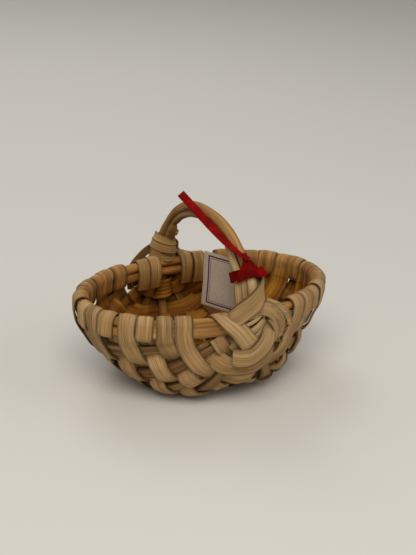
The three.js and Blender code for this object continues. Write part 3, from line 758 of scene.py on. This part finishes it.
turns = np.linspace(0, 2 * math.pi, rods["rimSteps"] + 1)
flat = np.zeros_like(turns)
rimOut = np.stack([shell["halfWidth"] * np.cos(turns), shell["halfLength"] * np.sin(turns), flat], axis=1)
for rimName, rise, seed in (("Upper", shell["rimOffset"], 57), ("Lower", -shell["rimOffset"], 59)):
    rimPoints = np.stack([
        shell["halfLength"] * np.cos(turns), shell["halfWidth"] * np.sin(turns), flat + rimHeight + rise],
        axis=1)
    rimRadii = wanderRadii(shell["rimRod"], "rimWander", seed, runLength(rimPoints))
    rimRadii[-1] = rimRadii[0]
    rimHoop = bendRod(
        "rimHoop" + rimName, rimWood, rimPoints, rimOut, rimRadii, seed, closed=True, lumps=0.05)
    fitPiece(rimHoop, "rod_wood", "rim_hoop_" + rimName.lower())

# a flat splint lies along the outside of both rods beside the near ear, under the ends of the rows
rimFace = {
    "from": -6 * mm, "to": -46 * mm, "half": 3.9 * mm, "rise": 0.2 * mm, "stand": 0.25 * mm,
    "thickness": 0.4 * mm, "crown": -0.25 * mm, "steps": 70,
}
faceAlong = np.linspace(rimFace["from"], rimFace["to"], rimFace["steps"] + 1)
faceDepth = -shell["halfWidth"] * np.sqrt(1 - (faceAlong / shell["halfLength"]) ** 2)
faceLevel = np.zeros_like(faceAlong)
faceOut = unit(np.stack([
    faceAlong / shell["halfLength"] ** 2, faceDepth / shell["halfWidth"] ** 2, faceLevel], axis=1))
facePoints = np.stack([faceAlong, faceDepth, faceLevel + rimHeight + rimFace["rise"]], axis=1)
facePoints = facePoints + faceOut * (shell["rimRod"] + rimFace["stand"])
rimSplint = bendStrip(
    "rimFaceSplint", faceWood, facePoints, upward, rimFace["half"], rimFace["thickness"], 61,
    crown=rimFace["crown"], ragged=0.05)
fitPiece(rimSplint, "splint")
print("rods bent")

# ribs: flat, riven, shaved thin towards both ears
ribs = {
    "angles": [14, 31, 47, 63, 76],
    "early": [False, True, False, True, False],
    "width": 6.8 * mm,
    "tipWidth": 2.6 * mm,
    "thickness": 1.9 * mm,
    "tipSeat": 1.3 * mm,
    "seatGain": 0.7 * mm,
    "taper": 24 * mm,
    "earClear": 15.5 * mm,
    "steps": 90,
    "barked": ("left", 2),
    "seed": 100,
    "mirrorSeed": 20,
}

# rows: flat splints over and under the ribs and the spine; a slim row lies beside the near ear
weave = {
    "rows": 15,
    "firstShare": 0.14,
    "lateRows": 1.5,
    "width": 11.5 * mm,
    "gap": -1.8 * mm,
    "thickness": 0.75 * mm,
    "bandWidth": 9.8 * mm,
    "seatGap": 0.2 * mm,
    "tuck": 4 * mm,
    "outsideRise": 0.25 * mm,
    "insideRise": 0.5 * mm,
    "flatShare": 0.7,
    "stepsPerWarp": 16,
    "sway": 0.35 * mm,
    "swayWave": 40 * mm,
    "swayPerTurn": 60 * mm,
    "skew": 4.5 * mm,
    "crown": 0.35 * mm,
    "crownBlend": 7,
    "rimCrown": 0.5 * mm,
    "rimSpread": (0.97, 1.2),
    "rimLift": 0.6 * mm,
    "wrapStart": 0.5,
    "wrapStep": 15,
    "wrapEnd": 70,
    "slimShare": 0.36,
    "slimEnd": 0.9,
    "slimWall": 0.87,
    "seed": 200,
    "swaySeed": 500,
}
rowStep = (1 - 2 * weave["firstShare"]) / (weave["rows"] - 1)
rowSeat = weave["seatGap"] + weave["thickness"] / 2
lateShare = weave["firstShare"] + weave["lateRows"] * rowStep


def ribStart(number, length):
    return ribs["earClear"] / length if ribs["early"][number] else lateShare


def ribFullness(number, share, length):
    fromTip = (min(share, 1 - share) - ribStart(number, length)) * length
    return min(max(fromTip / ribs["taper"], 0), 1)


def ribHalf(fullness):
    return (ribs["tipWidth"] + (ribs["width"] - ribs["tipWidth"]) * fullness) / 2


for sideName, mirrored in (("left", False), ("right", True)):
    for number, angle in enumerate(ribs["angles"]):
        turn = math.radians(180 - angle if mirrored else angle)
        length = wallFrame(0.5, turn)[5]
        start = ribStart(number, length)
        isBarked = (sideName, number + 1) == ribs["barked"]
        points, across, halves = [], [], []
        for share in np.linspace(start, 1 - start, ribs["steps"] + 1):
            point, _, acrossWay, _, _, _ = wallFrame(share, turn)
            points.append(point)
            across.append(acrossWay)
            halves.append(ribHalf(ribFullness(number, share, length)))
        piece = bendStrip(
            f"rib_{sideName}_{number + 1}_riven", barkedRibWood if isBarked else ribWood, points, across,
            np.array(halves), ribs["thickness"], ribs["seed"] + number + ribs["mirrorSeed"] * mirrored,
            ragged=0.08)
        fitPiece(piece, "rib_wood", f"rib_{sideName}_{number + 1}")
print("ribs set")


# what a row crosses, from the left rim to the right rim, each (angle, half width, seat of the row on it)
def warpsOf(share):
    warps = []
    for number, angle in enumerate(ribs["angles"]):
        if not ribs["early"][number] and min(share, 1 - share) < lateShare:
            continue
        length = wallFrame(0.5, math.radians(angle))[5]
        fullness = ribFullness(number, share, length)
        ribSeat = (ribs["tipSeat"] + ribs["seatGain"] * fullness) / 2
        warps.append((angle, ribHalf(fullness), ribSeat + rowSeat))
    mirror = [(180 - angle, half, seat) for angle, half, seat in reversed(warps)]
    spine = (90, shell["hoopRod"], shell["hoopRod"] + rowSeat)
    rims = [(angle, shell["rimOffset"] + shell["rimRod"], shell["rimRod"] + rowSeat) for angle in (0, 180)]
    return rims[:1] + warps + [spine] + mirror + rims[1:]


# the end of a splint round both rim rods, from the wall over the top and down the other side
def rimWrap(share, turn, side, skew, lift):
    point, along, _, _, _, _ = wallFrame(share, turn)
    outward = np.cross(along, upward) * -math.copysign(1, math.cos(turn))
    seat, offset, step = shell["rimRod"] + rowSeat + lift, shell["rimOffset"], weave["wrapStep"]
    corners = [(side * seat, level) for level in (-weave["wrapStart"] * offset, 0, offset)]
    for spread in np.radians(range(step, 180, step)):
        corners.append((side * seat * math.cos(spread), offset + seat * math.sin(spread)))
    corners += [(-side * seat, level) for level in (offset, 0, -offset)]
    for spread in np.radians(range(step, weave["wrapEnd"], step)):
        corners.append((-side * seat * math.cos(spread), -offset - seat * math.sin(spread)))
    run = []
    for i, (out, up) in enumerate(corners):
        drift = skew * (i / (len(corners) - 1))
        run.append((point + outward * out + upward * up + along * drift, along))
    return run


# a row at a share of the way between the ears; a short row turns at its outer warps instead of the rim
def weaveRow(name, share, parity, isShort, halfLimit, seed, *nodes):
    warps = warpsOf(share)
    if isShort:
        warps = warps[1:-1]
    last = len(warps) - 1
    draw = random.Random(seed)

    # each crossing: its turn, its half width and the tuck past it as turns, the side it lies on, its rise;
    # a short row that stands for a node lies outside all but its end warps
    crossed = []
    for i, (angle, half, seat) in enumerate(warps):
        crossing = i if isShort else min(max(i, 1), last - 1)
        isOutside = 0 < i < last if isShort and nodes else (crossing + parity) % 2 == 0
        turn = math.radians(angle)
        perTurn = wallFrame(share, turn)[4]
        rise = seat + weave["outsideRise"] if isOutside else -seat - weave["insideRise"]
        crossed.append((turn, half / perTurn, weave["tuck"] / perTurn, 1 if isOutside else -1, rise))

    # between two crossings the splint stays flat over each and eases from one rise to the next
    turns, rises = [], []
    for i in range(last):
        fromTurn, fromHalf, fromTuck, _, fromRise = crossed[i]
        toTurn, toHalf, toTuck, _, toRise = crossed[i + 1]
        first, stop = fromTurn, toTurn
        if i == 0:
            first = fromTurn - fromTuck if isShort else fromTurn + fromHalf
        if i == last - 1:
            stop = toTurn + toTuck if isShort else toTurn - toHalf
        fromHold, toHold = weave["flatShare"] * fromHalf, weave["flatShare"] * toHalf
        for turn in np.linspace(first, stop, weave["stepsPerWarp"], endpoint=i == last - 1):
            way = (turn - fromTurn - fromHold) / max(toTurn - fromTurn - fromHold - toHold, 1e-6)
            turns.append(turn)
            rises.append(fromRise + (toRise - fromRise) * ease(min(max(way, 0), 1)))
    sway = weave["sway"] * wander(
        seed + weave["swaySeed"], np.array(turns) * weave["swayPerTurn"], weave["swayWave"])

    isSlim = not isShort and share < weave["slimShare"]
    run = []
    for turn, rise, shift in zip(turns, rises, sway):
        point, along, _, out, _, length = wallFrame(share, turn)
        fullHalf = halfLimit if isShort else min(halfLimit, (length * rowStep - weave["gap"]) / 2)
        half = fullHalf * (weave["slimWall"] if isSlim else 1)
        run.append((point + out * rise + along * shift, along, half, -weave["crown"]))
    if not isShort:
        endSize = wallFrame(share, 0)[5] * rowStep * (weave["slimEnd"] if isSlim else 1)
        endHalves = [endSize * draw.uniform(*weave["rimSpread"]) / 2 for _ in range(2)]
        ends = []
        for (turn, _, _, side, _), half in zip((crossed[0], crossed[last]), endHalves):
            skew = draw.uniform(-1, 1) * weave["skew"]
            lift = weave["rimLift"] * (parity % 2 + draw.random()) / 2
            ends.append([
                (point, along, half, weave["rimCrown"] * -side)
                for point, along in rimWrap(share, turn, side, skew, lift)])
        run = ends[0][::-1] + run + ends[1]
    points, across, halves, crowns = zip(*run)
    blend = weave["crownBlend"]
    crowns = np.convolve(np.pad(crowns, blend // 2, mode="edge"), np.full(blend, 1 / blend), mode="valid")
    piece = bendStrip(
        name, splintWood, points, across, np.array(halves), weave["thickness"], seed, crowns)
    fitPiece(piece, "splint", *nodes)


# the first and the last row are short, and the rows near the ears cross fewer ribs
for row in range(1, weave["rows"] + 1):
    share = weave["firstShare"] + (row - 1) * rowStep
    isShort = row in (1, weave["rows"])
    lead = 1 if min(share, 1 - share) < lateShare else 0
    weaveRow(
        f"weaver_{row:02d}_splint", share, row + lead, isShort,
        (weave["bandWidth"] if isShort else weave["width"]) / 2, weave["seed"] + row, f"weaver_{row:02d}")

# narrow rows that close the wall between the first rows and the ears: (share, half width)
earRows = {"rows": [(0.1, 4 * mm), (0.066, 3.6 * mm)], "nearSeed": 240, "farSeed": 250}
for i, (share, half) in enumerate(earRows["rows"]):
    weaveRow(f"near_ear_row_{i + 1}", share, i, True, half, earRows["nearSeed"] + i)
    weaveRow(f"far_ear_row_{i + 1}", 1 - share, i, True, half, earRows["farSeed"] + i)
print("rows woven")

# ear lashing, in mm: bands through stops, each (across, up, out from the rim line, way it faces, half width);
# a number before the stops is where a band comes over the rim from inside, along the bar's (up, out, way)
front = (0, 0, 1)
ears = {
    "steps": 90,
    "thickness": 0.8 * mm,
    "crown": 0.25 * mm,
    "bar": [
        (-9.5, -3, (0, 0, -1)), (-4.5, -4.2, (0, 0, -1)), (1.3, -4.2, (0, 0, -1)), (4.9, -2.2, (0, 1, -1)),
        (5.7, 0, (0, 1, 0))],
    "barHalf": 3.4,
    "bands": {
        "rising_high": (-12, [
            (-10.6, 5.4, 5.6, (-0.3, 0.4, 1), 4.2), (-5.4, 11, 9, (-0.2, 0.1, 1), 5.3),
            (-1, 15, 10, front, 5.6), (4, 19, 7.4, (0.6, 0.05, 0.85), 5.3),
            (6.4, 20.4, 2.8, (1, 0, 0.15), 4.6), (5.4, 20.6, -2, (0.7, 0, -0.8), 4.4)]),
        "falling_low": (-14.4, [
            (-12, 4.2, 6, (0, 0.5, 1), 4.2), (-7.4, 0.2, 8.6, front, 4.5), (-2, -6.6, 9.4, front, 4.7),
            (3.4, -11, 9, front, 4.4), (7.5, -14.5, 7, front, 3.4)]),
        "rising_low": (15.6, [
            (14.4, 3.6, 4, (0, 0.4, 1), 3.8), (11, -1, 6.6, front, 4.4), (6.4, -7.4, 10.4, front, 5),
            (0, -12.6, 10.6, front, 5), (-5.5, -13.8, 9.4, (-0.1, 0, 1), 5),
            (-9, -14, 6.6, (-0.3, 0, 1), 4.8)]),
        "falling_high": (None, [
            (0, 10, 8.2, front, 2.8), (6.6, 9.4, 8.8, (0.4, 0.2, 1), 3.5),
            (12, 5.6, 8.4, (0.2, 0.3, 1), 3.7), (16.5, 0.4, 7, (0, 0.1, 1), 3.1),
            (18.6, -5, 5.2, front, 2.5), (19.6, -10, 3.6, (0, -0.1, 1), 1.8)]),
    },
    "farBands": {
        "rising_high": (-10, [
            (-8.2, 7.4, 5.4, (-0.3, 0.6, 1), 4.6), (-1.5, 11.2, 9.3, (0, 0.32, 1), 5.1),
            (3.4, 11.9, 7.7, (0.7, 0.34, 0.8), 4.7), (5, 12, 5.2, (1, 0.34, 0.4), 4.3)]),
        "falling_low": (-17.2, [
            (-14.4, 3.6, 5.4, (0, 0.5, 1), 4.2), (-8.6, -0.4, 8.2, front, 4.5), (-2, -6.6, 9.4, front, 4.7),
            (3.4, -11, 9, front, 4.4), (7.5, -14.5, 7, front, 3.4)]),
        "falling_high": (None, [
            (0, 8.4, 8.2, front, 2.8), (6.6, 7.2, 8.6, (0.4, 0.2, 1), 3),
            (12, 3.6, 8.2, (0.2, 0.3, 1), 3.3), (16.5, -1, 7, (0, 0.1, 1), 3.1),
            (18.6, -6, 5.2, front, 2.5), (19.6, -11, 3.6, (0, -0.1, 1), 1.8)]),
    },
    "strands": [
        (8.6, [(8.8, 4.8, 3.6, (0, 0.7, 1), 3), (8.8, 0, 5.6, front, 2.8)]),
        (None, [(7.6, 12.4, 6.4, (0.5, 0.4, 1), 1.7), (13.4, 9.2, 7, (0.2, 0.5, 1), 2),
                (19, 5.6, 5, (0, 0.6, 1), 2), (23.5, 1, 4.6, (0, 0.1, 1), 1.8), (26.4, -5, 4.2, front, 1.4)]),
        (None, [(8.6, 4.2, 9, front, 1.3), (12.6, -0.6, 8.6, front, 1.6), (14.4, -5, 7.4, front, 1.5),
                (14, -10.5, 6, front, 1.2)]),
        (None, [(-5.5, 2.2, 8, front, 0.9), (0, 4.6, 8.7, front, 1), (5.4, 7.6, 7.6, front, 0.9)]),
        (None, [(-4.4, -2.6, 7.6, front, 1.6), (1, 0, 8.4, front, 1.9), (6.8, 3.6, 7.2, front, 1.6)]),
        (None, [(-3, -6.6, 7.8, front, 1.6), (2.4, -4, 8.4, front, 1.9), (7.4, -0.6, 7, front, 1.6)]),
    ],
    "legSplints": [
        [(-5.4, 4, 5.2, (-0.9, 0, 0.5), 2.4), (-5.9, 12, 4.6, (-0.9, 0, 0.5), 2.6),
         (-5.5, 20, 2, (-0.9, 0, 0.5), 2.5), (-4.6, 25, -1.6, (-0.9, 0.2, 0.5), 2.3),
         (-3.7, 29, -7, (-0.9, 0.2, 0.4), 2.2), (-3.1, 32.6, -11.6, (-0.9, 0.2, 0.4), 2),
         (-2.8, 35.4, -15.6, (-0.9, 0.2, 0.3), 1.4)],
        [(-3.4, 5, 7.6, (-0.4, 0, 1), 2.2), (-3.7, 12, 7.3, (-0.4, 0, 1), 2.4),
         (-3.5, 20, 4.9, (-0.4, 0.3, 1), 2.3), (-3, 25, 2.1, (-0.4, 0.5, 1), 2.1)],
        [(-0.6, 6, 8.8, front, 2.4), (-0.8, 12, 8.4, front, 2.8), (-0.8, 20, 6, (0, 0.3, 1), 2.8),
         (-0.6, 25, 3.2, (0, 0.5, 1), 2.4)],
        [(3.2, 8, 7, (0.6, 0, 1), 2.2), (3, 13, 6.6, (0.6, 0, 1), 2.4), (2.8, 20, 4.4, (0.6, 0.2, 1), 2.2),
         (2.2, 25.5, 1.2, (0.6, 0.4, 1), 1.9)],
    ],
    "fibres": [
        [(11, 3, 8.8), (14.5, -0.5, 9.6), (16.5, -4.5, 9.6)], [(13, 1, 8.4), (16, 2.4, 9.4), (21, 1.4, 9)],
        [(16, -4, 6.8), (18.4, -6.5, 8.6), (18.6, -11, 8.2)], [(19, 2, 6.2), (22.5, 4, 7.4), (27, 3.2, 7)],
        [(13, -5, 7.8), (11.6, -9, 9.6), (13.2, -13, 9.2)], [(9, 10, 8.6), (12.5, 11.4, 9.6), (17, 9.4, 9.4)],
        [(14, -2, 8.2), (17.4, -3.6, 9.6), (21.4, -3, 9)], [(12, 6, 8.8), (16.6, 5.6, 9.8), (20.4, 2.6, 9.6)],
        [(15, -6, 7), (16.4, -9.6, 9), (14.8, -13.6, 9.4)],
    ],
    "fibreSize": 0.26,
    # round the inside of each leg: (up, half width, reach aside and inwards, flare, tilt)
    "loops": [(12, 4.8, 5, 7.2, 0.2, 1.2), (6.4, 2.9, 6.4, 7.6, 0.03, 0.6)],
    "farTurns": [(15, 2, 5.1, 7.1, 0.36, 1.2), (11, 2.4, 6, 8.1, 0.3, 1)],
    "loopSwing": 118,
    "loopPoints": 81,
    "loopCrown": 0.3 * mm,
    "leanSpan": 2,
    "fibreSeed": 40,
    "fibreStep": 3,
    "loopSeed": 20,
}


# how far the leg stands out from the rim line at a height, in mm
def hoopStand(up):
    height = shell["handleHeight"] / mm
    power = shell["handleSquareness"]
    return (shell["hoopHalfWidth"] * (1 - (up / height) ** power) ** (1 / power) - shell["halfWidth"]) / mm


def earRun(outward, start, stops):
    bar = []
    if start is not None:
        bar = [(start, up, out, facing, ears["barHalf"]) for up, out, facing in ears["bar"]]
    rows = [(a, u, o, *facing, half) for a, u, o, facing, half in bar + stops]
    run = smoothRun(rows, ears["steps"])
    run[:, :3] *= mm
    rimLine = shell["halfWidth"] * np.sqrt(1 - (run[:, 0] / shell["halfLength"]) ** 2)
    points = np.stack([-outward * run[:, 0], outward * (rimLine + run[:, 2]), rimHeight + run[:, 1]], axis=1)
    facing = np.stack([-outward * run[:, 3], outward * run[:, 5], run[:, 4]], axis=1)
    across = np.cross(facing, unit(np.gradient(points, axis=0)))
    return points, across, run[:, 6] * mm


for earName, outward, seed in (("near", -1, 300), ("far", 1, 330)):
    isNear = earName == "near"
    bands = ears["bands"] if isNear else dict(ears["bands"], **ears["farBands"])
    strands = ears["strands"] if isNear else ears["strands"][:1] + ears["strands"][3:]
    runs = [(f"{earName}_lash_{key}", *band) for key, band in bands.items()]
    runs += [(None, *strand) for strand in strands]
    if isNear:
        runs += [(None, None, stops) for stops in ears["legSplints"]]
    for i, (nodeName, start, stops) in enumerate(runs):
        name = nodeName + "_band" if nodeName else f"{earName}_ear_strip_{i - len(bands) + 1}"
        piece = bendStrip(
            name, lashWood, *earRun(outward, start, stops), ears["thickness"], seed + i, crown=ears["crown"],
            ragged=0.05, acrossSteps=8)
        fitPiece(piece, "splint", *([nodeName] if nodeName else []))
    for i, stops in enumerate(ears["fibres"] if isNear else []):
        run = earRun(outward, None, [(*stop, front, ears["fibreSize"] / 2) for stop in stops])
        piece = bendStrip(
            f"near_ear_fibre_{i + 1}", lashWood, *(rows[::ears["fibreStep"]] for rows in run),
            ears["fibreSize"] * mm, seed + ears["fibreSeed"] + i, acrossSteps=2)
        fitPiece(piece, "splint")

    swing = np.radians(np.linspace(-ears["loopSwing"], ears["loopSwing"], ears["loopPoints"]))
    loops = ears["loops"] + ([] if isNear else ears["farTurns"])
    for i, (up, half, aside, inwards, flare, tilt) in enumerate(loops):
        spoke = np.stack([aside * np.sin(swing), -outward * inwards * np.cos(swing), 0 * swing], axis=1) * mm
        middle = np.array([0, outward * (shell["halfWidth"] + hoopStand(up) * mm), rimHeight + up * mm])
        points = middle + spoke + np.outer(tilt * mm * np.sin(swing) * -outward, upward)
        span = ears["leanSpan"]
        lean = outward * (hoopStand(up + span) - hoopStand(up - span)) / (2 * span)
        across = np.array([0, lean, 1.0]) - flare * unit(spoke)
        piece = bendStrip(
            f"{earName}_leg_loop_{i + 1}", lashWood, points, across, half * mm, ears["thickness"],
            seed + ears["loopSeed"] + i, crown=-outward * ears["loopCrown"], ragged=0.04, acrossSteps=10)
        fitPiece(piece, "splint", *([f"{earName}_foot_wrap"] if i == 0 else []))
print("ears lashed")

# splint wound round the spine under each ear: (angle of the ear, way along the hoop)
coils = {
    "start": 7.6 * mm, "length": 10.5 * mm, "radius": 5 * mm, "turns": 5, "stepsPerTurn": 40,
    "thickness": 0.7 * mm, "crown": 0.3 * mm, "seed": 360,
    "nodes": {"near_spine_wrap": (math.pi, 1), "far_spine_wrap": (0, -1)},
}
for i, (nodeName, (earAngle, way)) in enumerate(coils["nodes"].items()):
    share = np.linspace(0, 1, coils["stepsPerTurn"] * coils["turns"] + 1)
    centre, out, along = hoopLine(
        earAngle + way * (coils["start"] + coils["length"] * share) / shell["hoopHalfWidth"], way)
    swing = 2 * math.pi * coils["turns"] * share
    points = centre + out * (coils["radius"] * np.cos(swing))[:, None]
    points[:, 0] += coils["radius"] * np.sin(swing)
    piece = bendStrip(
        nodeName + "_coil", splintWood, points, along, coils["length"] / coils["turns"] / 2,
        coils["thickness"], coils["seed"] + i, crown=coils["crown"] * way)
    fitPiece(piece, "splint", nodeName)
print("spine wound")

# folded card tag: the front leaf with its printed lines, each (inset, half width), and the back leaf that
# shows past it, which starts far off in the pattern and so stays plain
tag = {
    "width": 26 * mm, "height": 28 * mm, "thickness": 0.38 * mm, "top": 27 * mm,
    "fold": (-5.6 * mm, -10 * mm), "turn": -62, "holeRadius": 2.2 * mm, "holeAt": (22 * mm, 24.5 * mm),
    "boldLine": (1.9 * mm, 0.4 * mm), "thinLine": (3 * mm, 0.13 * mm), "backShift": -1.6 * mm,
    "backDrop": -0.5 * mm, "leafGap": 0.45 * mm, "bow": 0.5 * mm, "wave": 0.25 * mm, "grid": (26, 28),
    "punchSides": 40, "punchDepth": 6 * mm, "smoothAngle": 35,
}
cardStock = printedCard(tag["width"], tag["height"], tag["boldLine"], tag["thinLine"])
tagTurn = math.radians(tag["turn"])
tagWay = np.array([math.cos(tagTurn), math.sin(tagTurn), 0])
tagFace = np.array([tagWay[1], -tagWay[0], 0])
tagCorner = np.array([*tag["fold"], rimHeight + tag["top"] - tag["height"]])


# the card bows a little, but stays true at its hole
def cardBow(along, up):
    bow = tag["bow"] * np.sin(math.pi * along / tag["width"])
    return bow + tag["wave"] * np.cos(2 * math.pi * up / tag["height"])


leaves = []
for leafName, shift, drop, lift, uvStart in (
        ("tagFront", 0, 0, tag["leafGap"], (0, 0)),
        ("tagBack", tag["backShift"], tag["backDrop"], -tag["leafGap"], (3, 3))):
    leaf, station, share = startGrid(leafName, *tag["grid"], cardStock)
    along, up = station / tag["grid"][0] * tag["width"], share * tag["height"]
    curl = cardBow(along, up) - cardBow(*tag["holeAt"])
    places = tagCorner + np.outer(along + shift, tagWay) + np.outer(up + drop, upward)
    places = places + np.outer(lift + curl, tagFace)
    placeGrid(leaf, places, along, up, uvStart)
    thicken(leaf, tag["thickness"])
    leaves.append(leaf)
holePlace = tagCorner + tagWay * tag["holeAt"][0] + upward * tag["holeAt"][1]
deselectAll()
bpy.ops.mesh.primitive_cylinder_add(
    vertices=tag["punchSides"], radius=tag["holeRadius"], depth=tag["punchDepth"], location=holePlace,
    rotation=Vector(tagFace).to_track_quat("Z", "Y").to_euler())
punch = bpy.context.object
for leaf in leaves:
    finishWith(leaf, "BOOLEAN", object=punch, operation="DIFFERENCE", solver="EXACT")
bpy.data.objects.remove(punch)
deselectAll()
for leaf in reversed(leaves):
    leaf.select_set(True)
    bpy.context.view_layer.objects.active = leaf
bpy.ops.object.join()
leaves[0].name = "tagCard"
fitPiece(leaves[0], "card", "tag", body="tag", smoothAngle=tag["smoothAngle"])
print("tag hung")

# pale matt floor
ground = {"size": 6, "tint": "#D2CFC8", "roughness": 0.9}
deselectAll()
bpy.ops.mesh.primitive_plane_add(size=ground["size"], location=(0, 0, 0))
floor = bpy.context.object
floor.name = "floor"
floorPaint, floorSurface = newMaterial("paleFloor")
fillInputs(floorPaint, floorSurface, {"Base Color": linear(ground["tint"]), "Roughness": ground["roughness"]})
floor.data.materials.append(floorPaint)
